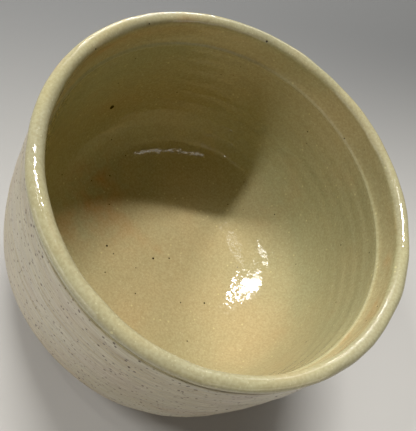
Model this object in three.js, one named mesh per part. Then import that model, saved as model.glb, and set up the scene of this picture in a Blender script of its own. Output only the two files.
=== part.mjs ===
// A wheel-thrown stoneware yarn bowl, standing on its foot ring.
// Millimetres, +Z up. The origin is the centre of the foot ring's flat underside.
//
// Three pieces that a kiln fuses into one bowl, kept apart here because each is its own material:
//   stoneware_body  the thrown and trimmed clay: floor, wall, rolled lip and foot ring
//   inner_glaze     the glassy coat on the floor and wall, over the lip and down to the groove under it
//   outer_slip      the brushed white slip on the outside, from the shoulder to above the bare foot
//
// The clay's outline is one line of (radius, height) points. It runs from the underside's middle
// out to the foot ring, up the outside, over the lip and down the inside to the floor's middle,
// so open air is always on its right. Each coat is a closed shell that follows a stretch of that
// line at a small clearance, so it keeps to the clay whatever size is changed.
import * as THREE from 'three';

// ---- overall sizes, measured over the coats ----
const rim_diameter = 150;
const bowl_height = 104;
const belly_diameter = 156;
const belly_height = 42;
const wall_thickness = 7.5;
const floor_height = 12;

// ---- lip, groove, shoulder and inside ledge ----
const lip_thickness = 5.6;
const groove_depth = 0.8;
const groove_below_rim = 6.2;
const shoulder_below_rim = 8;
const ledge_below_rim = 14.6;
const ledge_projection = 1.6;
const gallery_setback = 0.9;
const inner_belly_height = 62;

// ---- foot ring, bare clay ----
const foot_diameter = 88;
const foot_width = 7;
const foot_height = 5;
const foot_recess = 4;
const foot_edge_round = 0.8;

// ---- coats ----
const glaze_thickness = 0.7;
const slip_thickness = 0.6;
const coat_clearance = 0.3;
const slip_edge_height = 10;

// ---- how finely the round shapes are cut ----
const turn_steps = 48;
const bead_steps = 8;
const gallery_steps = 4;
const inner_wall_steps = 5;
const floor_steps = 12;
const outer_wall_steps = 6;
const under_steps = 9;
const foot_edge_steps = 2;

// ---- places that follow from the sizes ----
const glaze_build = coat_clearance + glaze_thickness;
const slip_build = coat_clearance + slip_thickness;
const bead_radius = lip_thickness / 2 - glaze_build;
const bead_middle = at(rim_diameter / 2 - lip_thickness / 2, bowl_height - lip_thickness / 2);
const bead_outside = at(bead_middle.x + bead_radius, bead_middle.y);
const bead_inside = at(bead_middle.x - bead_radius, bead_middle.y);
const groove_bottom = at(bead_outside.x - groove_depth, bowl_height - groove_below_rim);
const shoulder = at(bead_outside.x + glaze_build - slip_build, bowl_height - shoulder_below_rim);
const outer_belly = at(belly_diameter / 2 - slip_build, belly_height);
const gallery_radius = bead_inside.x + gallery_setback;
const ledge = at(gallery_radius - ledge_projection, bowl_height - ledge_below_rim);
const inner_belly = at(belly_diameter / 2 - wall_thickness + glaze_build, inner_belly_height);
const floor_middle = at(0, floor_height - glaze_build);
const foot_outside = foot_diameter / 2;
const foot_inside = foot_outside - foot_width;
const foot_top = at(foot_outside, foot_height);

/** A point of the outline, or a step along it: radius first, then height. */
function at(radius, height) {
  return new THREE.Vector2(radius, height);
}

/** Points of a cubic curve that leaves `from` by the step `leave` and comes into `to` by `arrive`. */
function bend(from, leave, to, arrive, steps) {
  const curve = new THREE.CubicBezierCurve(from, from.clone().add(leave), to.clone().sub(arrive), to);
  return curve.getPoints(steps).slice(1);
}

/** Points of a quarter or half circle about `middle`, from one angle to another, ends included. */
function round(middle, radius, from_angle, to_angle, clockwise, steps) {
  const curve = new THREE.EllipseCurve(
    middle.x, middle.y, radius, radius, from_angle, to_angle, clockwise,
  );
  return curve.getPoints(steps);
}

/** The bare underside: out from the axis, down into the foot ring and round to its top outside. */
function footLine() {
  const inner_middle = at(foot_inside + foot_edge_round, foot_edge_round);
  const outer_middle = at(foot_outside - foot_edge_round, foot_edge_round);
  return [
    at(0, foot_recess),
    at(foot_inside - foot_edge_round, foot_recess),
    ...round(inner_middle, foot_edge_round, Math.PI, 1.5 * Math.PI, false, foot_edge_steps),
    ...round(outer_middle, foot_edge_round, -0.5 * Math.PI, 0, false, foot_edge_steps),
    foot_top,
  ];
}

/** The outside wall: from the foot ring's top, out and up round the belly, to the shoulder. */
function outerLine() {
  const tuck = at(outer_belly.x - foot_top.x, outer_belly.y - foot_top.y);
  const climb = at(shoulder.x - outer_belly.x, shoulder.y - outer_belly.y);
  return [
    ...bend(foot_top, at(tuck.x * 0.83, tuck.y * 0.08), outer_belly, at(0, tuck.y * 0.7), under_steps),
    ...bend(outer_belly, at(0, climb.y * 0.53), shoulder, at(climb.x * 0.5, climb.y * 0.3),
      outer_wall_steps),
  ];
}

/** The groove, the rolled lip, and the inside wall down to the middle of the floor. */
function innerLine() {
  const lip_drop = bead_outside.y - groove_bottom.y;
  const gallery_drop = bead_inside.y - ledge.y;
  const wall_drop = ledge.y - inner_belly.y;
  const floor_drop = inner_belly.y - floor_middle.y;
  const bead = round(bead_middle, bead_radius, 0, Math.PI, false, bead_steps);
  return [
    groove_bottom,
    ...bend(groove_bottom, at(0, lip_drop * 0.3), bead_outside, at(0, lip_drop * 0.4), 2),
    ...bead.slice(1),
    ...bend(bead_inside, at(gallery_setback, -gallery_drop * 0.5), ledge,
      at(-ledge_projection * 1.5, -gallery_drop * 0.08), gallery_steps),
    ...bend(ledge, at(ledge_projection * 0.4, -wall_drop * 0.12), inner_belly,
      at(0, -wall_drop * 0.5), inner_wall_steps),
    ...bend(inner_belly, at(0, -floor_drop * 0.72), floor_middle,
      at(-inner_belly.x * 0.86, 0), floor_steps),
  ];
}

/** A line moved to its right, into the open air, by the same distance all along. */
function raised(line, distance) {
  return line.map((point, i) => {
    const before = line[Math.max(i - 1, 0)];
    const after = line[Math.min(i + 1, line.length - 1)];
    const heading = after.clone().sub(before).normalize();
    if (point.x === 0) {
      return at(0, point.y + distance);
    }
    return at(point.x + heading.y * distance, point.y - heading.x * distance);
  });
}

/** A coat's closed outline: back along its underside, then forward along its face. */
function coatOutline(line, thickness) {
  const underside = raised(line, coat_clearance).reverse();
  const face = raised(line, coat_clearance + thickness);
  const meets_axis = underside[0].x === 0;
  return meets_axis ? [...underside, ...face] : [...underside, ...face, underside[0].clone()];
}

/** The stretch of a line above a height, starting with a point put in exactly at that height. */
function above(line, height) {
  const first = line.findIndex((point) => point.y > height);
  const low = line[first - 1];
  const share = (height - low.y) / (line[first].y - low.y);
  return [low.clone().lerp(line[first], share), ...line.slice(first)];
}

/** One named piece, turned about +Z from its outline. */
function turned(name, outline, colour, roughness) {
  const geometry = new THREE.LatheGeometry(outline, turn_steps);
  geometry.rotateX(Math.PI / 2);
  const material = new THREE.MeshStandardMaterial({ color: colour, roughness, metalness: 0 });
  const piece = new THREE.Mesh(geometry, material);
  piece.name = name;
  return piece;
}

const outer_line = outerLine();
const inner_line = innerLine();
const slip_line = above(outer_line, slip_edge_height);

const bowl = new THREE.Group();
bowl.add(turned('stoneware_body', [...footLine(), ...outer_line, ...inner_line], 0x8f7a5c, 0.9));
bowl.add(turned('inner_glaze', coatOutline(inner_line, glaze_thickness), 0xb5a878, 0.2));
bowl.add(turned('outer_slip', coatOutline(slip_line, slip_thickness), 0xaba38f, 0.5));

export default bowl;
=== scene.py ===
"""Looks of a wheel-thrown stoneware yarn bowl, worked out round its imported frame.

The bowl is three fired layers: the clay body, the glossy glaze inside it and over its lip, and the
brushed white slip outside. Each layer is a surface of revolution on a grid of (turn, run): a line of
(radius, height) points is carried round +Z, and every grid point is moved along its own normal by a
relief that is computed as one whole array.
"""

import logging
import math
from dataclasses import dataclass, field
from enum import Enum
from typing import Callable

import bpy
import numpy as np
from mathutils import Matrix, Vector

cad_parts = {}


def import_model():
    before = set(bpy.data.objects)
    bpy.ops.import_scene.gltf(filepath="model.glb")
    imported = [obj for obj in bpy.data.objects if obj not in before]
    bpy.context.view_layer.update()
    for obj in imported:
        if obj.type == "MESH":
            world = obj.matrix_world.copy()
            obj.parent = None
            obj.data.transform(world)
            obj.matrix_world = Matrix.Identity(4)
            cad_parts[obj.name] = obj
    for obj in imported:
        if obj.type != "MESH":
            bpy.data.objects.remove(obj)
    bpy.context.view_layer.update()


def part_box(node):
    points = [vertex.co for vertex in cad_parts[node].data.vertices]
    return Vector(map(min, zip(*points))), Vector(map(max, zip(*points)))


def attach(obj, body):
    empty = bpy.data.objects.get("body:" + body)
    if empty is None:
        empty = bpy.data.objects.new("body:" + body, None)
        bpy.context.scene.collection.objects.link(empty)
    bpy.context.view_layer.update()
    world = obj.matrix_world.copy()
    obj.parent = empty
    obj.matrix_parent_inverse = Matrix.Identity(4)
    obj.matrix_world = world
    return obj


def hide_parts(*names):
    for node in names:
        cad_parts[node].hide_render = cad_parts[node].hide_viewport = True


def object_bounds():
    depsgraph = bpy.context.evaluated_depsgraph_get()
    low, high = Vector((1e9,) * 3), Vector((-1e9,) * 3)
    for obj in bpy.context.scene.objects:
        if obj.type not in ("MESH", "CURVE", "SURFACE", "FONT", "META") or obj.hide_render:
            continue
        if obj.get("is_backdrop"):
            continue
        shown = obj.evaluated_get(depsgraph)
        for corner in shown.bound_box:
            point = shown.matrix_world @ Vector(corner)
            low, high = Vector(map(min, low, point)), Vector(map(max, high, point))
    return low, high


LOG = logging.getLogger("yarn_bowl")
MM = 0.001
TAU = 2.0 * math.pi
SAME_POINT = 1e-7
ON_AXIS = 1e-6
TINY = 1e-12
FINE_CUTS = 4000
Array = np.ndarray
Socket = bpy.types.NodeSocket
Value = bpy.types.NodeSocket | float | tuple | None


# --------------------------------------------------------------------------------------------------
# Lines, relief and grids
# --------------------------------------------------------------------------------------------------


def bend(start: tuple, leave: tuple, end: tuple, arrive: tuple, count: int = 40) -> Array:
    """A cubic curve: (1-t)^3 a + 3(1-t)^2 t (a+leave) + 3(1-t) t^2 (b-arrive) + t^3 b.

    Args:
        start: first point (radius, height).
        leave: step from the first point to its handle.
        end: last point.
        arrive: step from the last handle to the last point.
        count: number of points, both ends included.

    Returns:
        An array of shape (count, 2).
    """
    a, b = np.array(start, float), np.array(end, float)
    p, q = a + np.array(leave, float), b - np.array(arrive, float)
    t = np.linspace(0.0, 1.0, count)[:, None]
    return (1 - t) ** 3 * a + 3 * (1 - t) ** 2 * t * p + 3 * (1 - t) * t**2 * q + t**3 * b


def arc(middle: tuple, radius: float, from_turn: float, to_turn: float, count: int = 40) -> Array:
    """Points of a circle: middle + radius (cos a, sin a), with a running evenly between two turns.

    Args:
        middle: the circle's centre (radius, height).
        radius: the circle's radius.
        from_turn: first angle, in degrees.
        to_turn: last angle, in degrees.
        count: number of points, both ends included.

    Returns:
        An array of shape (count, 2).
    """
    a = np.radians(np.linspace(from_turn, to_turn, count))
    return np.array(middle) + radius * np.stack([np.cos(a), np.sin(a)], 1)


def joined(*lines: Array) -> Array:
    """Lays lines end to end, and leaves out the points that repeat.

    Args:
        *lines: the lines, each of shape (count, 2).

    Returns:
        One line.
    """
    line = np.concatenate(lines)
    step = np.linalg.norm(np.diff(line, axis=0), axis=1)
    return line[np.concatenate([[True], step > SAME_POINT])]


def run_of(line: Array) -> Array:
    """Distance along a line at each of its points: the running sum of its step lengths."""
    return np.concatenate([[0.0], np.cumsum(np.linalg.norm(np.diff(line, axis=0), axis=1))])


def resampled(line: Array, rows: int, crowding: Callable[[Array], Array] | None = None) -> Array:
    """The same line cut into rows whose spacing is inversely proportional to a crowding.

    Args:
        line: points of the line.
        rows: number of points wanted.
        crowding: gives, for points of the line, how densely to cut there. Even when left out.

    Returns:
        An array of shape (rows, 2).
    """
    run = run_of(line)
    fine = np.linspace(0.0, run[-1], FINE_CUTS)
    points = np.stack([np.interp(fine, run, line[:, k]) for k in (0, 1)], 1)
    weight = np.ones(len(fine)) if crowding is None else crowding(points)
    total = np.concatenate([[0.0], np.cumsum((weight[1:] + weight[:-1]) / 2)])
    wanted = np.interp(np.linspace(0.0, total[-1], rows), total, fine)
    return np.stack([np.interp(wanted, run, line[:, k]) for k in (0, 1)], 1)


def normals_of(line: Array) -> Array:
    """Unit normals of a line, to the right of its heading: the heading turned by a quarter clockwise.

    Args:
        line: points of the line, of shape (count, 2).

    Returns:
        An array of the same shape.
    """
    heading = np.gradient(line, axis=0)
    heading /= np.maximum(np.linalg.norm(heading, axis=1), TINY)[:, None]
    return np.stack([heading[:, 1], -heading[:, 0]], 1)


def smooth_step(low: float, high: float, value: Array) -> Array:
    """3t^2 - 2t^3, with t running from 0 at low to 1 at high."""
    t = np.clip((value - low) / (high - low), 0.0, 1.0)
    return t * t * (3.0 - 2.0 * t)


def bump_at(centre: float, width: float, value: Array) -> Array:
    """exp(-((value - centre) / width)^2), a smooth bump."""
    return np.exp(-(((value - centre) / width) ** 2))


@dataclass(frozen=True)
class Grid:
    """The (turn, run) grid of one surface of revolution.

    Attributes:
        line: (rows, 2) points of radius and height.
        turns: number of steps round the axis.
    """

    line: Array
    turns: int

    @property
    def turn(self) -> Array:
        """Angle round +Z of each column, in radians, as a row."""
        return (np.arange(self.turns) * TAU / self.turns)[None, :]

    @property
    def run(self) -> Array:
        """Distance along the line at each row, as a column."""
        return run_of(self.line)[:, None]

    @property
    def radius(self) -> Array:
        """Radius of each row, as a column."""
        return self.line[:, 0][:, None]

    @property
    def height(self) -> Array:
        """Height of each row, as a column."""
        return self.line[:, 1][:, None]

    def flat(self) -> Array:
        """A relief of zeros for this grid."""
        return np.zeros((len(self.line), self.turns))

    def points(self, relief: Array) -> Array:
        """Places of the grid points: the line's point plus its normal times the relief, turned round.

        Args:
            relief: (rows, turns) distances along the normal, in metres.

        Returns:
            An array of shape (rows, turns, 3).
        """
        normal = normals_of(self.line)
        radius = self.radius + relief * normal[:, 0][:, None]
        height = self.height + relief * normal[:, 1][:, None]
        return np.stack([radius * np.cos(self.turn), radius * np.sin(self.turn), height], 2)

    def noise(self, seed: int, along: float, across: float) -> Array:
        """White noise blurred by a Gaussian in its spectrum, scaled to a spread of 1.

        The spectrum is multiplied by exp(-2 pi^2 (f_turn^2 along^2 + f_run^2 across^2)), where the
        frequencies are counted in grid steps, so the result joins up with itself round the axis.

        Args:
            seed: start of the random draw.
            along: blur round the axis, in metres at the widest row.
            across: blur along the line, in metres.

        Returns:
            An array of shape (rows, turns).
        """
        rows = len(self.line)
        draw = np.random.default_rng(seed).standard_normal((2 * rows, self.turns))
        turn_step = TAU * float(self.line[:, 0].max()) / self.turns
        run_step = float(self.run[-1, 0]) / rows
        f_run = np.fft.fftfreq(2 * rows)[:, None] * across / run_step
        f_turn = np.fft.fftfreq(self.turns)[None, :] * along / turn_step
        spectrum = np.fft.fft2(draw) * np.exp(-2.0 * math.pi**2 * (f_run**2 + f_turn**2))
        blurred = np.real(np.fft.ifft2(spectrum))[:rows]
        return (blurred - blurred.mean()) / max(float(blurred.std()), TINY)


@dataclass
class Shell:
    """A closed mesh turned about +Z: a relief face, and where wanted a plain back that closes it.

    Attributes:
        name: the piece's name.
        face: grid of the seen face, with open air on the right of its line.
        relief: distances along the face's normals.
        back: grid of the hidden face behind it, running the same way, where the face isn't closed.
        back_relief: distances along the normals of the back.
        marks: values painted on the face's points, by attribute name.
    """

    name: str
    face: Grid
    relief: Array
    back: Grid | None = None
    back_relief: Array | None = None
    marks: dict[str, Array] = field(default_factory=dict)

    def faces(self, starts: Array, on_axis: Array) -> list[list[int]]:
        """Joins each row to the next: quads between rings, a fan of triangles at a point on the axis.

        Args:
            starts: number of each row's first point.
            on_axis: whether each row is one point on the axis.

        Returns:
            The faces, as lists of point numbers, with the quads first.
        """
        column = np.arange(self.face.turns)
        following = (column + 1) % self.face.turns
        quads: list[list[int]] = []
        fans: list[list[int]] = []
        closes = not on_axis[0] and not on_axis[-1]
        for i in range(len(starts) - (0 if closes else 1)):
            j = (i + 1) % len(starts)
            here, ahead = starts[i] + column, starts[i] + following
            above, above_ahead = starts[j] + column, starts[j] + following
            if on_axis[i] and not on_axis[j]:
                fans += np.stack([np.full(len(column), starts[i]), above_ahead, above], 1).tolist()
            elif on_axis[j] and not on_axis[i]:
                fans += np.stack([here, ahead, np.full(len(column), starts[j])], 1).tolist()
            elif not on_axis[i]:
                quads += np.stack([here, ahead, above_ahead, above], 1).tolist()
        return quads + fans

    def build(self) -> bpy.types.Object:
        """Makes the mesh object: the rows of the face and of the reversed back form one ring of rows.

        Returns:
            The new object, linked to the scene.
        """
        grid = self.face.points(self.relief)
        if self.back is not None:
            grid = np.concatenate([grid, self.back.points(self.back_relief)[::-1]])
        on_axis = np.hypot(grid[:, :, 0], grid[:, :, 1]).max(1) < ON_AXIS
        sizes = np.where(on_axis, 1, self.face.turns)
        starts = np.concatenate([[0], np.cumsum(sizes)[:-1]])
        points = np.concatenate([grid[i, : sizes[i]] for i in range(len(grid))])
        mesh = bpy.data.meshes.new(self.name)
        mesh.from_pydata(points.tolist(), [], self.faces(starts, on_axis))
        mesh.polygons.foreach_set("use_smooth", np.ones(len(mesh.polygons), bool))
        for mark, value in self.marks.items():
            kept = np.concatenate([value[i, : sizes[i]] for i in range(len(self.face.line))])
            whole = np.zeros(len(points), np.float32)
            whole[: len(kept)] = kept
            layer = mesh.attributes.new(mark, "FLOAT", "POINT")
            layer.data.foreach_set("value", whole)
        mesh.validate()
        mesh.update()
        piece = bpy.data.objects.new(self.name, mesh)
        bpy.context.scene.collection.objects.link(piece)
        return piece


# --------------------------------------------------------------------------------------------------
# Node trees
# --------------------------------------------------------------------------------------------------


class Blend(Enum):
    """How one colour is laid over another."""

    MIX = "MIX"
    MULTIPLY = "MULTIPLY"


class Nodes:
    """A material's node tree, with one short method for each kind of node that the finishes use."""

    def __init__(self, name: str) -> None:
        """Starts a material with an empty tree.

        Args:
            name: the material's name.
        """
        self.material = bpy.data.materials.new(name)
        self.material.use_nodes = True
        self.tree = self.material.node_tree
        self.tree.nodes.clear()
        self.place = self.tree.nodes.new("ShaderNodeTexCoord").outputs["Object"]

    def put(self, socket: Socket, value: Value) -> None:
        """Links a socket when the value is an output, and sets it when it is a number or a colour.

        Args:
            socket: the input.
            value: an output, a number or a colour. Nothing is done without one.
        """
        if isinstance(value, bpy.types.NodeSocket):
            self.tree.links.new(value, socket)
        elif value is not None:
            socket.default_value = value

    def mapped(self, scale: tuple) -> Socket:
        """The object's own coordinates, scaled.

        Args:
            scale: factors along X, Y and Z.

        Returns:
            The coordinates' output.
        """
        node = self.tree.nodes.new("ShaderNodeMapping")
        self.put(node.inputs["Vector"], self.place)
        self.put(node.inputs["Scale"], scale)
        return node.outputs["Vector"]

    def noise(
        self,
        scale: float,
        detail: float,
        roughness: float,
        vector: Socket | None = None,
        warp: float = 0.0,
    ) -> Socket:
        """Fractal noise, from 0 to 1.

        Args:
            scale: cells to the metre, about.
            detail: number of finer layers.
            roughness: how strongly the finer layers count.
            vector: coordinates, or the object's own where left out.
            warp: how far the pattern is pulled about.

        Returns:
            The noise's output.
        """
        node = self.tree.nodes.new("ShaderNodeTexNoise")
        self.put(node.inputs["Vector"], vector or self.place)
        self.put(node.inputs["Scale"], scale)
        self.put(node.inputs["Detail"], detail)
        self.put(node.inputs["Roughness"], roughness)
        self.put(node.inputs["Distortion"], warp)
        return node.outputs["Fac"]

    def cells(self, scale: float, vector: Socket | None = None) -> tuple[Socket, Socket]:
        """Scattered cells.

        Args:
            scale: cells to the metre.
            vector: coordinates, or the object's own where left out.

        Returns:
            The distance to the nearest cell's point, and that cell's own random colour.
        """
        node = self.tree.nodes.new("ShaderNodeTexVoronoi")
        self.put(node.inputs["Vector"], vector or self.place)
        self.put(node.inputs["Scale"], scale)
        return node.outputs["Distance"], node.outputs["Color"]

    def mark(self, name: str) -> Socket:
        """A value painted on the piece's own points.

        Args:
            name: the attribute's name.

        Returns:
            The value's output.
        """
        node = self.tree.nodes.new("ShaderNodeAttribute")
        node.attribute_name = name
        return node.outputs["Fac"]

    def math(
        self, kind: str, first: Value, second: Value = None, third: Value = None, clamp: bool = False
    ) -> Socket:
        """One arithmetic step.

        Args:
            kind: the step's name in capitals, such as "ADD".
            first: first value or output.
            second: second value or output, where the step has one.
            third: third value or output, where the step has one.
            clamp: whether the result is held between 0 and 1.

        Returns:
            The result's output.
        """
        node = self.tree.nodes.new("ShaderNodeMath")
        node.operation = kind
        node.use_clamp = clamp
        for socket, value in zip(node.inputs, (first, second, third)):
            self.put(socket, value)
        return node.outputs[0]

    def ranged(
        self, value: Value, low: float, high: float, to_low: float = 0.0, to_high: float = 1.0
    ) -> Socket:
        """A value carried smoothly from one range to another, and held at its ends.

        Args:
            value: the value.
            low: start of its range.
            high: end of its range.
            to_low: what the start becomes.
            to_high: what the end becomes.

        Returns:
            The result's output.
        """
        node = self.tree.nodes.new("ShaderNodeMapRange")
        node.interpolation_type = "SMOOTHSTEP"
        self.put(node.inputs["Value"], value)
        names = ("From Min", "From Max", "To Min", "To Max")
        for name, number in zip(names, (low, high, to_low, to_high)):
            self.put(node.inputs[name], number)
        return node.outputs["Result"]

    def over(self, share: Value, under: Value, upper: Value, blend: Blend = Blend.MIX) -> Socket:
        """One colour laid over another.

        Args:
            share: how much of the upper colour counts, from 0 to 1.
            under: the colour below.
            upper: the colour laid on it.
            blend: how the two are put together.

        Returns:
            The colour's output.
        """
        node = self.tree.nodes.new("ShaderNodeMix")
        node.data_type = "RGBA"
        node.blend_type = blend.value
        factor, under_input, upper_input = node.inputs[0], node.inputs[6], node.inputs[7]
        self.put(factor, share)
        self.put(under_input, under)
        self.put(upper_input, upper)
        return node.outputs[2]

    def split(self, colour: Socket) -> tuple[Socket, Socket, Socket]:
        """A colour's three channels.

        Args:
            colour: the colour's output.

        Returns:
            An output for red, green and blue.
        """
        node = self.tree.nodes.new("ShaderNodeSeparateColor")
        self.put(node.inputs[0], colour)
        return node.outputs[0], node.outputs[1], node.outputs[2]

    def along(self, direction: tuple) -> Socket:
        """Distance from the origin in one direction: the dot product of the place and the direction.

        Args:
            direction: the direction, one unit long.

        Returns:
            The distance's output, in metres.
        """
        node = self.tree.nodes.new("ShaderNodeVectorMath")
        node.operation = "DOT_PRODUCT"
        self.put(node.inputs[0], self.place)
        self.put(node.inputs[1], direction)
        return node.outputs["Value"]

    def spot(self, middle: Vector, radius: float, edge: float) -> Socket:
        """1 within a radius of a place on the piece, falling to 0 across an edge.

        Args:
            middle: the place.
            radius: where the fall is halfway, in metres.
            edge: width of the fall, in metres.

        Returns:
            The share's output.
        """
        node = self.tree.nodes.new("ShaderNodeVectorMath")
        node.operation = "DISTANCE"
        self.put(node.inputs[0], self.place)
        self.put(node.inputs[1], tuple(middle))
        return self.ranged(node.outputs["Value"], radius - edge / 2, radius + edge / 2, 1.0, 0.0)

    def relief(self, height: Value, depth: float, normal: Socket | None = None) -> Socket:
        """A bumped normal.

        Args:
            height: the relief, from 0 to 1.
            depth: what 1 stands for, in metres.
            normal: the normal that it is laid on, or the surface's own where left out.

        Returns:
            The normal's output.
        """
        node = self.tree.nodes.new("ShaderNodeBump")
        self.put(node.inputs["Strength"], 1.0)
        self.put(node.inputs["Distance"], depth)
        self.put(node.inputs["Height"], height)
        self.put(node.inputs["Normal"], normal)
        return node.outputs["Normal"]

    def finish(self, **sockets: Value) -> bpy.types.Material:
        """Ends the tree in a Principled surface with the named sockets set.

        Args:
            **sockets: socket names with spaces written as underscores, and a value or an output each.

        Returns:
            The finished material.
        """
        shader = self.tree.nodes.new("ShaderNodeBsdfPrincipled")
        for name, value in sockets.items():
            self.put(shader.inputs[name.replace("_", " ")], value)
        output = self.tree.nodes.new("ShaderNodeOutputMaterial")
        self.tree.links.new(shader.outputs[0], output.inputs["Surface"])
        return self.material


def tone(red: float, green: float, blue: float) -> tuple:
    """A colour given in the usual 0 to 255 steps, made linear by the standard screen curve.

    Args:
        red: step of red.
        green: step of green.
        blue: step of blue.

    Returns:
        Linear red, green and blue, and a full alpha.
    """
    steps = np.array([red, green, blue]) / 255.0
    linear = np.where(steps <= 0.04045, steps / 12.92, ((steps + 0.055) / 1.055) ** 2.4)
    return (*(float(v) for v in linear), 1.0)


# --------------------------------------------------------------------------------------------------
# Finishes
# --------------------------------------------------------------------------------------------------

WHITE = tone(255, 255, 255)


@dataclass(frozen=True)
class Specks:
    """Round specks scattered through a finish: at most one in a cell, and only in some of the cells.

    Attributes:
        cells: cells to the metre.
        core: distance from its middle, in cells, within which a speck is full.
        rim: distance at which it ends.
        none_below: cells whose random value is lower hold no speck.
        full_above: cells whose random value is higher hold a full one.
        channel: which of a cell's three random values decides.
        flatness: how many times lower than wide a cell is.
    """

    cells: float
    core: float
    rim: float
    none_below: float
    full_above: float
    channel: int = 0
    flatness: float = 1.0

    def share(self, n: Nodes, favour: Socket | None = None) -> Socket:
        """How much of a speck there is at each place.

        Args:
            n: the node tree.
            favour: added to the cells' random values, where given.

        Returns:
            The share's output, from 0 to 1.
        """
        distance, luck = n.cells(self.cells, n.mapped((1.0, 1.0, self.flatness)))
        value = n.split(luck)[self.channel]
        if favour is not None:
            value = n.math("ADD", value, favour)
        disc = n.ranged(distance, self.core, self.rim, 1.0, 0.0)
        return n.math("MULTIPLY", disc, n.ranged(value, self.none_below, self.full_above))


@dataclass(frozen=True)
class IronSpot:
    """One large iron spot burnt through the glaze.

    Attributes:
        turn: angle round the bowl, in degrees.
        radius: distance from the axis, in metres.
        height: height above the foot, in metres.
        size: the spot's own radius, in metres.
    """

    turn: float
    radius: float
    height: float
    size: float

    @property
    def middle(self) -> Vector:
        """The spot's place."""
        a = math.radians(self.turn)
        return Vector((self.radius * math.cos(a), self.radius * math.sin(a), self.height))


IRON_SPOTS = (
    IronSpot(165.4, 69.6 * MM, 47.9 * MM, 1.15 * MM),
    IronSpot(-140.5, 30.9 * MM, 13.9 * MM, 0.55 * MM),
    IronSpot(-119.4, 7.2 * MM, 12.1 * MM, 0.55 * MM),
    IronSpot(4.0, 2.2 * MM, 12.0 * MM, 0.4 * MM),
    IronSpot(-8.7, 31.2 * MM, 13.9 * MM, 0.5 * MM),
    IronSpot(118.9, 69.8 * MM, 102.6 * MM, 0.5 * MM),
)


@dataclass(frozen=True)
class OatmealGlaze:
    """Glossy oatmeal to celadon glaze: warm where thin over the clay, greener where it lies thick."""

    green: tuple = tone(171, 167, 128)
    warm: tuple = tone(190, 171, 128)
    blush: tuple = tone(190, 148, 98)
    cream: tuple = tone(166, 161, 131)
    pale: tuple = tone(232, 226, 190)
    straw: tuple = tone(226, 216, 160)
    iron: tuple = tone(46, 34, 20)
    hollow_shade: tuple = tone(228, 223, 212)
    pale_flecks: Specks = Specks(900.0, 0.12, 0.32, 0.80, 0.82)
    straw_dots: Specks = Specks(420.0, 0.14, 0.26, 0.90, 0.92, channel=2)
    iron_specks: Specks = Specks(300.0, 0.07, 0.15, 0.955, 0.96, channel=1)
    ripple_depth: float = 0.14 * MM
    mottle_depth: float = 0.004 * MM
    spots: tuple[IronSpot, ...] = ()

    def colour(self, n: Nodes, mottle: Socket) -> Socket:
        """The glaze's colour: warmth and blushes in clouds, a mottle with painted shade in its
        hollows, and three sizes of speck.

        Args:
            n: the node tree.
            mottle: the fine noise that its relief shares.

        Returns:
            The colour's output.
        """
        cloud = n.noise(70.0, 3.0, 0.55)
        warmth = n.math("ADD", n.mark("warmth"), n.math("MULTIPLY_ADD", cloud, 0.5, -0.25), clamp=True)
        blush = n.math("MULTIPLY", n.mark("blush"), n.ranged(cloud, 0.3, 0.7))
        colour = n.over(warmth, self.green, self.warm)
        colour = n.over(blush, colour, self.blush)
        colour = n.over(n.mark("crest"), colour, self.cream)
        # painted shade: darker towards `hollow_shade` in the hollows of the fine mottle relief
        shading = n.over(n.ranged(mottle, 0.3, 0.7), self.hollow_shade, WHITE)
        colour = n.over(0.7, colour, shading, Blend.MULTIPLY)
        colour = n.over(n.math("MULTIPLY", self.pale_flecks.share(n), 0.22), colour, self.pale)
        colour = n.over(n.math("MULTIPLY", self.straw_dots.share(n), 0.4), colour, self.straw)
        colour = n.over(n.math("MULTIPLY", self.iron_specks.share(n), 0.85), colour, self.iron)
        for spot in self.spots:
            colour = n.over(n.spot(spot.middle, spot.size, spot.size * 0.5), colour, self.iron)
        return colour

    def material(self) -> bpy.types.Material:
        """Builds the node tree.

        Returns:
            The material, reading the piece's painted marks `warmth`, `blush`, `crest` and `dry`.
        """
        n = Nodes("oatmeal_glaze")
        mottle = n.noise(950.0, 3.0, 0.6)
        colour = self.colour(n, mottle)
        normal = n.relief(n.noise(300.0, 2.0, 0.5), self.ripple_depth)
        normal = n.relief(mottle, self.mottle_depth, normal)
        rough = n.math("MULTIPLY_ADD", n.mark("dry"), 0.35, n.ranged(mottle, 0.35, 0.75, 0.05, 0.10))
        return n.finish(Base_Color=colour, Roughness=rough, IOR=1.5, Normal=normal)


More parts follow.
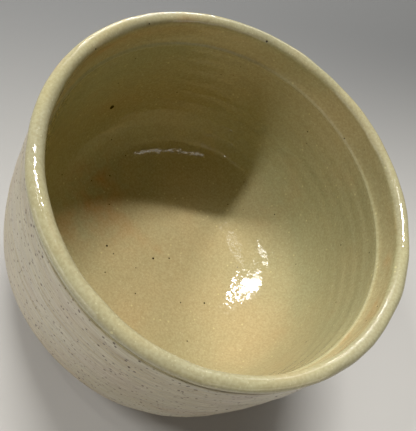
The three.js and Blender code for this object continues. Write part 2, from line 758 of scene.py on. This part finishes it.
@dataclass(frozen=True)
class BrushedSlip:
    """White slip brushed round the turning wall, with grit pits and iron specks, under a clear coat."""

    slip: tuple = tone(190, 183, 158)
    thin: tuple = tone(164, 138, 92)
    pink: tuple = tone(184, 166, 148)
    iron: tuple = tone(74, 56, 42)
    hollow_shade: tuple = tone(208, 202, 192)
    grit_pits: Specks = Specks(400.0, 0.14, 0.24, 0.24, 0.44, flatness=1.25)
    iron_specks: Specks = Specks(520.0, 0.10, 0.26, 0.58, 0.68, flatness=1.4)
    streak_depth: float = 0.22 * MM
    fine_depth: float = 0.08 * MM
    grain_depth: float = 0.10 * MM
    pit_depth: float = 0.22 * MM

    def material(self) -> bpy.types.Material:
        """Builds the node tree.

        Returns:
            The material, reading the piece's painted marks `thick` and `worn`.
        """
        n = Nodes("brushed_slip")
        streaks = n.noise(60.0, 5.0, 0.6, n.mapped((1.0, 1.0, 8.0)), 0.3)
        fine = n.noise(150.0, 4.0, 0.6, n.mapped((1.0, 1.0, 10.0)), 0.3)
        cloud = n.noise(45.0, 3.0, 0.5)
        cover = n.math("ADD", n.mark("thick"), n.ranged(streaks, 0.25, 0.75, -0.16, 0.16), clamp=True)
        colour = n.over(cover, self.thin, self.slip)
        colour = n.over(n.math("MULTIPLY", n.ranged(cloud, 0.45, 0.75), 0.45), colour, self.pink)
        # painted shade: darker towards `hollow_shade` in the hollows of the fine brush streaks
        shading = n.over(n.ranged(fine, 0.3, 0.7), self.hollow_shade, WHITE)
        colour = n.over(0.8, colour, shading, Blend.MULTIPLY)
        pits = self.grit_pits.share(n, n.math("MULTIPLY", n.mark("worn"), 0.45))
        colour = n.over(n.math("MULTIPLY", pits, 0.85), colour, self.iron)
        colour = n.over(n.math("MULTIPLY", self.iron_specks.share(n), 0.6), colour, self.iron)
        normal = n.relief(streaks, self.streak_depth)
        normal = n.relief(fine, self.fine_depth, normal)
        normal = n.relief(n.noise(700.0, 3.0, 0.6), self.grain_depth, normal)
        normal = n.relief(n.math("SUBTRACT", 1.0, pits), self.pit_depth, normal)
        return n.finish(
            Base_Color=colour,
            Roughness=n.ranged(fine, 0.3, 0.7, 0.34, 0.52),
            IOR=1.48,
            Coat_Weight=0.5,
            Coat_Roughness=0.2,
            Normal=normal,
        )


@dataclass(frozen=True)
class BareStoneware:
    """Unglazed buff stoneware, trimmed on the wheel, with open grog."""

    clay: tuple = tone(158, 130, 98)
    dark: tuple = tone(112, 86, 60)
    grog: tuple = tone(196, 176, 146)
    iron: tuple = tone(70, 50, 34)
    iron_specks: Specks = Specks(700.0, 0.14, 0.3, 0.80, 0.83)
    grain_depth: float = 0.06 * MM
    line_depth: float = 0.10 * MM
    pit_depth: float = 0.12 * MM

    def material(self) -> bpy.types.Material:
        """Builds the node tree.

        Returns:
            The material.
        """
        n = Nodes("bare_stoneware")
        body = n.noise(90.0, 5.0, 0.6)
        lines = n.noise(140.0, 3.0, 0.5, n.mapped((0.4, 0.4, 9.0)))
        grain = n.noise(1400.0, 3.0, 0.6)
        colour = n.over(n.ranged(body, 0.3, 0.7), self.dark, self.clay)
        colour = n.over(n.math("MULTIPLY", n.ranged(lines, 0.4, 0.7), 0.35), colour, self.grog)
        specks = self.iron_specks.share(n)
        colour = n.over(n.math("MULTIPLY", specks, 0.6), colour, self.iron)
        normal = n.relief(grain, self.grain_depth)
        normal = n.relief(lines, self.line_depth, normal)
        normal = n.relief(n.math("SUBTRACT", 1.0, specks), self.pit_depth, normal)
        rough = n.ranged(grain, 0.3, 0.7, 0.72, 0.92)
        return n.finish(Base_Color=colour, Roughness=rough, IOR=1.5, Normal=normal)


@dataclass(frozen=True)
class PaleTable:
    """Plain pale table top, with painted shade falling softly to grey on one side of the bowl."""

    tint: tuple = tone(196, 194, 190)
    haze: tuple = tone(176, 172, 167)
    # grey of the painted shade on one side of the table
    far: tuple = tone(98, 99, 99)
    falls_towards: tuple = (-0.77, 0.64, 0.0)
    falls_from: float = -0.10
    falls_to: float = 0.20

    def material(self) -> bpy.types.Material:
        """Builds the node tree.

        Returns:
            The material.
        """
        n = Nodes("pale_table")
        colour = n.over(n.math("MULTIPLY", n.noise(6.0, 3.0, 0.5), 0.08), self.tint, self.haze)
        # painted shade: the colour falls to `far` along `falls_towards`, a fall-off of light painted into
        # the table
        fall = n.ranged(n.along(self.falls_towards), self.falls_from, self.falls_to, 0.0, 0.95)
        colour = n.over(fall, colour, self.far)
        return n.finish(Base_Color=colour, Roughness=0.6, IOR=1.45, Specular_IOR_Level=0.3)


# --------------------------------------------------------------------------------------------------
# The bowl
# --------------------------------------------------------------------------------------------------


@dataclass(frozen=True)
class BowlSizes:
    """Sizes of the fired bowl, over its coats, in metres.

    The overall sizes and the coats' edges are read from the frame; the rest are the design's own.
    """

    rim_radius: float
    height: float
    belly_radius: float
    slip_top: float
    slip_foot: float
    lip_thickness: float = 5.6 * MM
    belly_height: float = 42.0 * MM
    wall: float = 7.5 * MM
    floor_height: float = 12.0 * MM
    groove_depth: float = 0.55 * MM
    groove_below_rim: float = 5.9 * MM
    join_above_slip: float = 1.6 * MM
    slip_edge: float = 0.3 * MM
    glaze_hem_inset: float = 0.45 * MM
    glaze_hem_overlap: float = 0.3 * MM
    glaze_hem_lean: float = 0.15 * MM
    shoulder_inset: float = 0.1 * MM
    ledge_below_rim: float = 14.6 * MM
    ledge_projection: float = 0.9 * MM
    gallery_setback: float = 0.9 * MM
    inner_belly_height: float = 62.0 * MM
    foot_radius: float = 44.0 * MM
    foot_width: float = 7.0 * MM
    foot_height: float = 5.0 * MM
    foot_recess: float = 4.0 * MM
    foot_round: float = 0.8 * MM
    glaze: float = 1.0 * MM
    slip: float = 0.9 * MM

    @classmethod
    def from_frame(cls) -> "BowlSizes":
        """Reads the overall sizes from the frame's node boxes.

        Returns:
            The sizes.
        """
        glaze_low, glaze_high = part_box("inner_glaze")
        slip_low, slip_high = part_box("outer_slip")
        return cls(
            rim_radius=glaze_high.x,
            height=glaze_high.z,
            belly_radius=slip_high.x,
            slip_top=slip_high.z,
            slip_foot=slip_low.z,
        )

    @property
    def join_height(self) -> float:
        """Height at which the slip meets the glaze."""
        return self.slip_top + self.join_above_slip

    @property
    def bead_middle(self) -> tuple:
        """Centre of the rolled lip's round section."""
        return (self.rim_radius - self.lip_thickness / 2, self.height - self.lip_thickness / 2)

    @property
    def groove(self) -> tuple:
        """Bottom of the groove under the lip, on the glaze."""
        return (self.rim_radius - self.groove_depth, self.height - self.groove_below_rim)

    @property
    def ledge(self) -> tuple:
        """Crest of the ledge inside."""
        radius = self.rim_radius - self.lip_thickness + self.gallery_setback - self.ledge_projection
        return (radius, self.height - self.ledge_below_rim)

    def inner_line(self) -> Array:
        """Finished line from the groove, over the lip, down the inside to the middle of the floor.

        Cubic curves join the groove, the round of the lip, the gallery, the ledge, the inner belly and
        the floor.

        Returns:
            Points of shape (count, 2).
        """
        half = self.lip_thickness / 2
        cx, cz = self.bead_middle
        gx, gz = self.groove
        lx, lz = self.ledge
        drop = cz - lz
        belly = (self.belly_radius - self.wall, self.inner_belly_height)
        fall = lz - belly[1]
        sink = belly[1] - self.floor_height
        below = (self.rim_radius - self.glaze_hem_inset, self.join_height - self.glaze_hem_overlap)
        hem_rise = gz - below[1]
        return joined(
            bend(below, (-self.glaze_hem_lean, hem_rise * 0.4), (gx, gz), (0, hem_rise * 0.35)),
            bend((gx, gz), (0, (cz - gz) * 0.3), (cx + half, cz), (0, (cz - gz) * 0.4)),
            arc((cx, cz), half, 0.0, 180.0),
            bend(
                (cx - half, cz),
                (self.gallery_setback, -drop * 0.5),
                (lx, lz),
                (-self.ledge_projection * 1.5, -drop * 0.08),
            ),
            bend((lx, lz), (self.ledge_projection * 0.4, -fall * 0.12), belly, (0, -fall * 0.5)),
            bend(belly, (0, -sink * 0.72), (0.0, self.floor_height), (-belly[0] * 0.86, 0), 120),
        )

    def outer_line(self) -> Array:
        """Finished line from the foot ring's top, out round the belly and up to the shoulder.

        Returns:
            Points of shape (count, 2).
        """
        foot = (self.foot_radius + self.slip, self.foot_height)
        belly = (self.belly_radius, self.belly_height)
        shoulder = (self.rim_radius - self.shoulder_inset, self.join_height)
        out, up = belly[0] - foot[0], belly[1] - foot[1]
        lean, climb = shoulder[0] - belly[0], shoulder[1] - belly[1]
        return joined(
            bend(foot, (out * 0.83, up * 0.08), belly, (0, up * 0.7), 120),
            bend(belly, (0, climb * 0.53), shoulder, (lean * 0.5, climb * 0.3), 120),
        )


def wander(grid: Grid) -> Array:
    """How far the thrown wall strays from round, in metres outwards.

    A slow wave twice and one five times round the axis, strongest low on the wall:
    exp(-((height - 30 mm) / 26 mm)^2) (0.8 sin(2 turn + 1.7) + 0.45 sin(5 turn + 0.4)) mm, given to
    points whose normal leans outwards.

    Args:
        grid: the surface's grid.

    Returns:
        An array of shape (rows, turns).
    """
    out = smooth_step(-0.2, 0.3, normals_of(grid.line)[:, 0][:, None])
    low = bump_at(30 * MM, 26 * MM, grid.height) * smooth_step(5 * MM, 14 * MM, grid.height)
    return out * low * (0.8 * MM * np.sin(2 * grid.turn + 1.7) + 0.45 * MM * np.sin(5 * grid.turn + 0.4))


def moved(line: Array, distance: float) -> Array:
    """A line moved along its normals, kept off the far side of the axis.

    Args:
        line: points of the line.
        distance: how far, in metres; negative is into the wall.

    Returns:
        The moved points.
    """
    line = line + normals_of(line) * distance
    line[:, 0] = np.maximum(line[:, 0], 0.0)
    return line


@dataclass
class GlazedInside:
    """The glaze coat: floor, wall, ledge, gallery and the rolled lip."""

    sizes: BowlSizes
    turns: int = 480
    rows: int = 180
    back_rows: int = 24
    ring_pitch: float = 8.0 * MM
    ring_depth: float = 0.10 * MM
    floor_ring_pitch: float = 7.0 * MM
    floor_ring_depth: float = 0.02 * MM
    slow_depth: float = 0.20 * MM
    grain_depth: float = 0.010 * MM
    lip_wander: float = 0.11 * MM
    lip_dimples: float = 0.08 * MM
    back_share: float = 0.97

    def relief(self, grid: Grid) -> Array:
        """Relief of the thrown inside.

        The wall's rings are a spiral: depth times sin(2 pi (run / pitch) - turn), with a finer spiral
        of a quarter of the depth, swelled and faded by noise. The floor has the same spiral, fainter.
        The lip wanders by a few slow waves round the rim.

        Args:
            grid: the coat's grid.

        Returns:
            Distances along the normals, of shape (rows, turns).
        """
        s = self.sizes
        height, radius, run, turn = grid.height, grid.radius, grid.run, grid.turn
        wall = smooth_step(s.floor_height + 10 * MM, s.floor_height + 26 * MM, height)
        wall = wall * smooth_step(s.ledge[1], s.ledge[1] - 5 * MM, height)
        swell = 0.8 + 0.25 * grid.noise(11, 40 * MM, 12 * MM)
        fine_pitch = self.ring_pitch * 0.47
        rings = np.sin(TAU * run / self.ring_pitch - turn)
        rings = rings + 0.25 * np.sin(TAU * run / fine_pitch + 2 * turn)
        swell = swell * (0.75 + 0.45 * np.cos(turn - 0.2))
        relief = self.ring_depth * rings * swell * wall
        floor = smooth_step(52 * MM, 44 * MM, radius) * smooth_step(2 * MM, 9 * MM, radius)
        relief = relief + self.floor_ring_depth * np.sin(TAU * run / self.floor_ring_pitch - turn) * floor
        spread = smooth_step(12 * MM, 60 * MM, radius)
        slow = grid.noise(12, 30 * MM, 22 * MM) * smooth_step(s.height, s.height - 16 * MM, height)
        grain = grid.noise(13, 4 * MM, 4 * MM)
        relief = relief + (self.slow_depth * slow + self.grain_depth * grain) * spread
        lip = smooth_step(s.height - 9 * MM, s.height - 3 * MM, height)
        sway = np.sin(2 * turn + 0.6) + 0.6 * np.sin(3 * turn + 2.1)
        sway = sway + 0.35 * np.sin(7 * turn + 4.0) + 0.25 * np.sin(11 * turn)
        relief = relief + self.lip_wander * sway * lip
        relief = relief + self.lip_dimples * grid.noise(14, 3.5 * MM, 2.5 * MM) * lip
        return relief * smooth_step(0.0, 3 * MM, radius)

    def marks(self, grid: Grid) -> dict[str, Array]:
        """Where the glaze is warm, blushed, thin over a crest or drier, each from 0 to 1.

        It is warm low in the bowl and in the gallery, less so towards `left`; blushed in patches of
        noise, on the rim's tanned stretch and at one burnt place; pale on the ledge and the lip. The
        upper wall's warmth towards `left` is painted shade, and the gallery's warmth and blush weighted
        by `shaded` are partly painted shade: a warmer tint where the inside lies in shade.

        Args:
            grid: the coat's grid.

        Returns:
            Values of shape (rows, turns), by the mark's name.
        """
        s = self.sizes
        height, radius = grid.height, grid.radius
        low = smooth_step(42 * MM, 20 * MM, height)
        # `shaded` is high near turn 170 degrees, the inside's shaded side, and near turn -10 degrees; the
        # gallery's warmth and blush weighted by it are partly painted shade
        shaded = 0.15 + 0.85 * np.sin(grid.turn - math.radians(80.0)) ** 2
        left = (0.5 + 0.5 * np.cos(grid.turn - math.radians(165.0))) ** 2
        low = low * (1.0 - 0.5 * left * smooth_step(20 * MM, 40 * MM, radius))
        above_ledge = smooth_step(s.ledge[1], s.ledge[1] + 1.5 * MM, height)
        gallery = above_ledge * smooth_step(s.height - 2 * MM, s.height - 6 * MM, height)
        inside = smooth_step(s.rim_radius - s.lip_thickness / 2, s.rim_radius - s.lip_thickness, radius)
        spread = smooth_step(15 * MM, 50 * MM, radius)
        # the warmth added towards `left` above 28 mm is painted shade: a warmer tint on the upper wall
        # that lies in shade
        warmth = 0.14 + 0.60 * low + 0.16 * left * smooth_step(28 * MM, 44 * MM, height)
        warmth = warmth + 0.55 * gallery * inside * shaded
        warmth = warmth + 0.16 * grid.noise(21, 18 * MM, 14 * MM) * spread
        patches = np.clip(grid.noise(22, 7 * MM, 4 * MM) - 0.9, 0, 1)
        blush = patches * (0.12 + 0.50 * gallery * shaded) * spread
        tanned = np.clip(grid.noise(24, 9 * MM, 3 * MM) - 0.2, 0, 1) * np.maximum(left, 0.25)
        blush = blush + 0.7 * tanned * smooth_step(s.height - 6 * MM, s.height - 3 * MM, height)
        burnt = np.exp((np.cos(grid.turn - math.radians(-167.0)) - 1.0) / 0.09)
        blush = blush + burnt * bump_at(19 * MM, 6 * MM, height) * inside
        ledge = bump_at(s.ledge[1], 0.5 * MM, height) * inside
        outward = smooth_step(s.height - 5.5 * MM, s.height - 2.0 * MM, height) * (1 - inside)
        crown = smooth_step(s.height - 3.0 * MM, s.height - 1.3 * MM, height)
        lip = np.maximum(outward, crown) * (0.84 + 0.22 * grid.noise(23, 8 * MM, 3 * MM))
        crest = 0.25 * ledge + 0.9 * lip
        dry = bump_at(s.ledge[1], 1.6 * MM, height) * inside + grid.flat()
        values = {"warmth": warmth, "blush": blush, "crest": crest, "dry": dry}
        return {name: np.clip(value, 0, 1) for name, value in values.items()}

    def crowding(self, points: Array) -> Array:
        """Rows are cut finer on the lip, the gallery and the ledge."""
        s = self.sizes
        return 1.0 + 1.8 * smooth_step(s.ledge[1] - 3 * MM, s.ledge[1], points[:, 1])

    def build(self) -> bpy.types.Object:
        """Builds and dresses the coat, and stands it in for the frame's glaze.

        Returns:
            The piece.
        """
        line = resampled(self.sizes.inner_line(), self.rows, self.crowding)
        line[-1, 0] = 0.0
        grid = Grid(line, self.turns)
        behind = resampled(self.sizes.inner_line(), self.back_rows, self.crowding)
        behind = moved(behind, -self.sizes.glaze * self.back_share)
        behind[-1, 0] = 0.0
        back = Grid(behind, self.turns)
        piece = Shell("glaze_coat", grid, self.relief(grid), back, back.flat(), self.marks(grid)).build()
        piece.data.materials.append(OatmealGlaze(spots=IRON_SPOTS).material())
        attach(piece, "root")
        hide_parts("inner_glaze")
        return piece


@dataclass
class SlippedOutside:
    """The brushed slip coat, from the shoulder to above the bare foot."""

    sizes: BowlSizes
    turns: int = 420
    rows: int = 180
    back_rows: int = 48
    brush_depth: float = 0.13 * MM
    slow_depth: float = 0.22 * MM
    hem: float = 0.6 * MM
    back_share: float = 0.97

    def relief(self, grid: Grid) -> Array:
        """Relief of the brushed outside: noise drawn out round the axis, over a slow wander.

        Args:
            grid: the coat's grid.

        Returns:
            Distances along the normals, of shape (rows, turns).
        """
        s = self.sizes
        height = grid.height
        brush = 0.6 * grid.noise(31, 6 * MM, 0.36 * MM) + 0.5 * grid.noise(32, 14 * MM, 1.0 * MM)
        edge = smooth_step(s.join_height, s.slip_top - 1.2 * MM, height)
        edge = edge * smooth_step(s.slip_foot, s.slip_foot + 2 * MM, height)
        slow = grid.noise(33, 22 * MM, 14 * MM)
        relief = (self.brush_depth * brush + self.slow_depth * slow) * edge
        relief = np.clip(relief, -0.5 * s.slip, s.slip) + wander(grid)
        sunk = 1 - smooth_step(s.join_height, s.join_height - 0.5 * MM, height)
        return relief - s.slip_edge * sunk

    def marks(self, grid: Grid) -> dict[str, Array]:
        """How thickly the slip lies, with a painted reflection of the table mixed in low down, and how
        pitted it is, each from 0 to 1.

        Args:
            grid: the coat's grid.

        Returns:
            Values of shape (rows, turns), by the mark's name.
        """
        s = self.sizes
        top_line = smooth_step(s.slip_top - 2.2 * MM, s.slip_top - 0.4 * MM, grid.height)
        # towards the foot the slip is thinner and tanner: partly real thinning, partly a painted
        # reflection of the brown table and its shadow
        foot = smooth_step(45 * MM, 15 * MM, grid.height)
        thick = 0.78 + 0.12 * grid.noise(34, 24 * MM, 7 * MM) + 0.3 * top_line - 0.50 * foot
        worn = 0.5 + 0.5 * np.cos(grid.turn + math.radians(150.0))
        worn = worn + 0.25 * grid.noise(35, 14 * MM, 10 * MM)
        return {"thick": np.clip(thick, 0, 1), "worn": np.clip(worn, 0, 1)}

    def build(self) -> bpy.types.Object:
        """Builds and dresses the coat, and stands it in for the frame's slip.

        Returns:
            The piece.
        """
        line = self.sizes.outer_line()
        line = resampled(line[line[:, 1] >= self.sizes.slip_foot + self.hem], self.rows)
        grid = Grid(line, self.turns)
        behind = moved(resampled(line, self.back_rows), -self.sizes.slip * self.back_share)
        back = Grid(behind, self.turns)
        piece = Shell("slip_coat", grid, self.relief(grid), back, wander(back), self.marks(grid)).build()
        piece.data.materials.append(BrushedSlip().material())
        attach(piece, "root")
        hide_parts("outer_slip")
        return piece


@dataclass
class ThrownClay:
    """The clay body: seen at the foot, in the groove under the lip, and hidden under both coats."""

    sizes: BowlSizes
    turns: int = 360
    rows: int = 220
    trim_depth: float = 0.10 * MM

    def line(self) -> Array:
        """The clay's line: underside, foot ring, outside, groove, lip and inside, on the coats' backs.

        Returns:
            Points of shape (count, 2).
        """
        s = self.sizes
        inner = s.foot_radius - s.foot_width
        r = s.foot_round
        outside = moved(s.outer_line(), -s.slip)
        inside = moved(s.inner_line(), -s.glaze)
        inside[-1, 0] = 0.0
        return joined(
            np.array([(0.0, s.foot_recess), (inner - 6 * r, s.foot_recess)]),
            bend((inner - 6 * r, s.foot_recess), (5 * r, 0), (inner, r), (0, -3 * r), 20),
            arc((inner + r, r), r, 180.0, 270.0, 10),
            arc((s.foot_radius - r, r), r, -90.0, 0.0, 10),
            np.array([(s.foot_radius, s.foot_height - 1 * MM)]),
            outside,
            inside,
        )

    def crowding(self, points: Array) -> Array:
        """Rows are cut finest at the foot."""
        return 1.0 + 2.5 * smooth_step(16 * MM, 10 * MM, points[:, 1]) * (points[:, 0] > 30 * MM)

    def relief(self, grid: Grid) -> Array:
        """Trimming lines on the bare foot: rings of noise, gone where the clay is covered or rests.

        Args:
            grid: the clay's grid.

        Returns:
            Distances along the normals, of shape (rows, turns).
        """
        s = self.sizes
        bare = smooth_step(s.slip_foot + 2 * MM, s.slip_foot - 1 * MM, grid.height)
        outside = smooth_step(s.foot_radius - 1 * MM, s.foot_radius, grid.radius)
        lifted = smooth_step(0.4 * MM, 1.5 * MM, grid.height)
        middle = smooth_step(0.0, 4 * MM, grid.radius)
        trim = self.trim_depth * grid.noise(41, 60 * MM, 0.8 * MM)
        under = smooth_step(s.foot_recess + 0.6 * MM, s.foot_recess + 0.1 * MM, grid.height)
        under = under * (grid.run < s.foot_radius)
        return trim * lifted * middle * np.maximum(bare * outside, under) + wander(grid)

    def build(self) -> bpy.types.Object:
        """Builds and dresses the clay, and stands it in for the frame's body.

        Returns:
            The piece.
        """
        line = resampled(self.line(), self.rows, self.crowding)
        line[0, 0] = line[-1, 0] = 0.0
        grid = Grid(line, self.turns)
        piece = Shell("clay_body", grid, self.relief(grid)).build()
        piece.data.materials.append(BareStoneware().material())
        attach(piece, "root")
        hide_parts("stoneware_body")
        return piece


# --------------------------------------------------------------------------------------------------
# The stage
# --------------------------------------------------------------------------------------------------


def towards(turn: float, rise: float) -> Vector:
    """The direction (cos rise cos turn, cos rise sin turn, sin rise), from angles in degrees."""
    turn, rise = math.radians(turn), math.radians(rise)
    return Vector((math.cos(rise) * math.cos(turn), math.cos(rise) * math.sin(turn), math.sin(rise)))


@dataclass(frozen=True)
class Softbox:
    """One long soft light, hung between two directions from the bowl and turned to face it.

    Attributes:
        name: the light's name.
        first: turn from +X and rise above the table of its first end, in degrees.
        last: turn and rise of its last end.
        distance: distance from the bowl, in metres.
        depth: size across the line between its ends, in metres.
        power: in watts.
        tint: the light's colour.
        mirrored: whether the light itself shows in glossy surfaces.
    """

    name: str
    first: tuple[float, float]
    last: tuple[float, float]
    distance: float
    depth: float
    power: float
    tint: tuple = (1.0, 1.0, 1.0)
    mirrored: bool = True

    def build(self, target: Vector) -> bpy.types.Object:
        """Hangs the light: its middle is halfway between its ends, its width runs from end to end.

        Args:
            target: the point that it faces.

        Returns:
            The light object.
        """
        first = towards(*self.first) * self.distance
        last = towards(*self.last) * self.distance
        away = (first + last) / 2
        along = (last - first).normalized()
        out = away.normalized()
        across = out.cross(along)
        lamp = bpy.data.lights.new(self.name, "AREA")
        lamp.shape = "RECTANGLE"
        lamp.size, lamp.size_y = (last - first).length, self.depth
        lamp.energy = self.power
        lamp.color = self.tint
        light = bpy.data.objects.new(self.name, lamp)
        light.visible_glossy = self.mirrored
        facing = Matrix((along, across, out)).transposed().to_4x4()
        light.matrix_world = Matrix.Translation(target + away) @ facing
        bpy.context.scene.collection.objects.link(light)
        return light


@dataclass(frozen=True)
class ViewPoint:
    """The camera: its eye in the bowl's own frame, and how it looks.

    Attributes:
        back: distance in front of the bowl's axis, in metres.
        height: height above the table, in metres.
        turn: turn of the view from +Y towards +X, in degrees.
        dip: how far it looks down, in degrees.
        roll: turn about the line of sight, in degrees.
        lens: focal length, in the camera's usual millimetres.
        nearest: distance at which the view starts, in metres.
    """

    back: float = 115.9 * MM
    height: float = 243.6 * MM
    turn: float = 0.4
    dip: float = 56.8
    roll: float = 45.0
    lens: float = 41.76
    nearest: float = 0.01

    def build(self) -> bpy.types.Object:
        """Makes the camera: looking along (sin turn cos dip, cos turn cos dip, -sin dip), rolled.

        Returns:
            The camera object.
        """
        data = bpy.data.cameras.new("studio_camera")
        data.lens = self.lens
        data.clip_start = self.nearest
        camera = bpy.data.objects.new("studio_camera", data)
        turn, dip, roll = (math.radians(v) for v in (self.turn, self.dip, self.roll))
        flat = math.cos(dip)
        forward = Vector((math.sin(turn) * flat, math.cos(turn) * flat, -math.sin(dip)))
        level = Vector((math.cos(turn), -math.sin(turn), 0.0))
        lifted = level.cross(forward)
        right = math.cos(roll) * level + math.sin(roll) * lifted
        up = right.cross(forward)
        place = Matrix.Translation((0.0, -self.back, self.height))
        camera.matrix_world = place @ Matrix((right, up, -forward)).transposed().to_4x4()
        bpy.context.scene.collection.objects.link(camera)
        bpy.context.scene.camera = camera
        return camera


DAYLIGHT = (1.0, 0.99, 0.97)


@dataclass(frozen=True)
class Studio:
    """The plain stage: a pale table, soft lights and a dim even room.

    Attributes:
        table_size: side of the table, in metres.
        room: strength of the room's own light.
        room_tint: its colour.
        black: level below which the picture is black.
        lights: the soft lights.
    """

    table_size: float = 6.0
    room_tint: tuple = (1.0, 0.96, 0.90, 1.0)
    room: float = 0.03
    black: float = 0.006
    lights: tuple[Softbox, ...] = (
        Softbox("window_light", (120.0, 63.8), (163.0, 57.6), 2.5, 0.085, 47.0, DAYLIGHT),
        Softbox("window_pane_light", (127.0, 63.0), (166.0, 61.0), 2.5, 0.26, 7.5, DAYLIGHT),
        Softbox("side_window_light", (196.0, 47.5), (212.0, 41.5), 2.5, 0.11, 29.0, DAYLIGHT, False),
        Softbox("side_pane_light", (193.0, 67.0), (187.0, 55.0), 2.5, 0.07, 3.0, DAYLIGHT),
        Softbox("high_pane_light", (111.0, 77.0), (133.0, 71.0), 2.5, 0.05, 0.45, DAYLIGHT),
        Softbox("back_light", (95.0, 26.0), (155.0, 26.0), 1.3, 0.30, 3.4, DAYLIGHT),
        Softbox("low_back_light", (116.0, 12.0), (152.0, 12.0), 2.5, 0.04, 26.0, DAYLIGHT),
        Softbox("front_fill_light", (222.0, 9.0), (268.0, 9.0), 0.9, 0.24, 1.1, (1.0, 0.975, 0.95)),
        Softbox("low_far_light", (-45.0, 14.0), (5.0, 14.0), 1.0, 0.30, 1.3, (1.0, 0.92, 0.78)),
        Softbox("far_fill_light", (-48.0, 46.0), (8.0, 46.0), 1.3, 0.04, 0.40, (1.0, 0.97, 0.94)),
    )

    def build(self) -> None:
        """Lays the table, hangs the lights and sets the room's own light."""
        half = self.table_size / 2
        mesh = bpy.data.meshes.new("table_top")
        corners = [(-half, -half, 0), (half, -half, 0), (half, half, 0), (-half, half, 0)]
        mesh.from_pydata(corners, [], [(0, 1, 2, 3)])
        table = bpy.data.objects.new("table_top", mesh)
        bpy.context.scene.collection.objects.link(table)
        table.data.materials.append(PaleTable().material())
        table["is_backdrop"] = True
        low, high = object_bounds()
        for light in self.lights:
            light.build((low + high) / 2)
        world = bpy.data.worlds.new("room")
        world.use_nodes = True
        backdrop = world.node_tree.nodes["Background"]
        backdrop.inputs["Color"].default_value = self.room_tint
        backdrop.inputs["Strength"].default_value = self.room
        bpy.context.scene.world = world
        view = bpy.context.scene.view_settings
        view.view_transform = "Standard"
        view.use_curve_mapping = True
        view.curve_mapping.black_level = (self.black, self.black, self.black)
        view.curve_mapping.update()


def main() -> None:
    """Loads the frame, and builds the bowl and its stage."""
    logging.basicConfig(level=logging.INFO, format="%(name)s: %(message)s")
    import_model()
    sizes = BowlSizes.from_frame()
    ViewPoint().build()
    for part in (ThrownClay(sizes), GlazedInside(sizes), SlippedOutside(sizes)):
        piece = part.build()
        LOG.info("%s: %d faces", piece.name, len(piece.data.polygons))
    Studio().build()


if __name__ == "__main__":
    main()
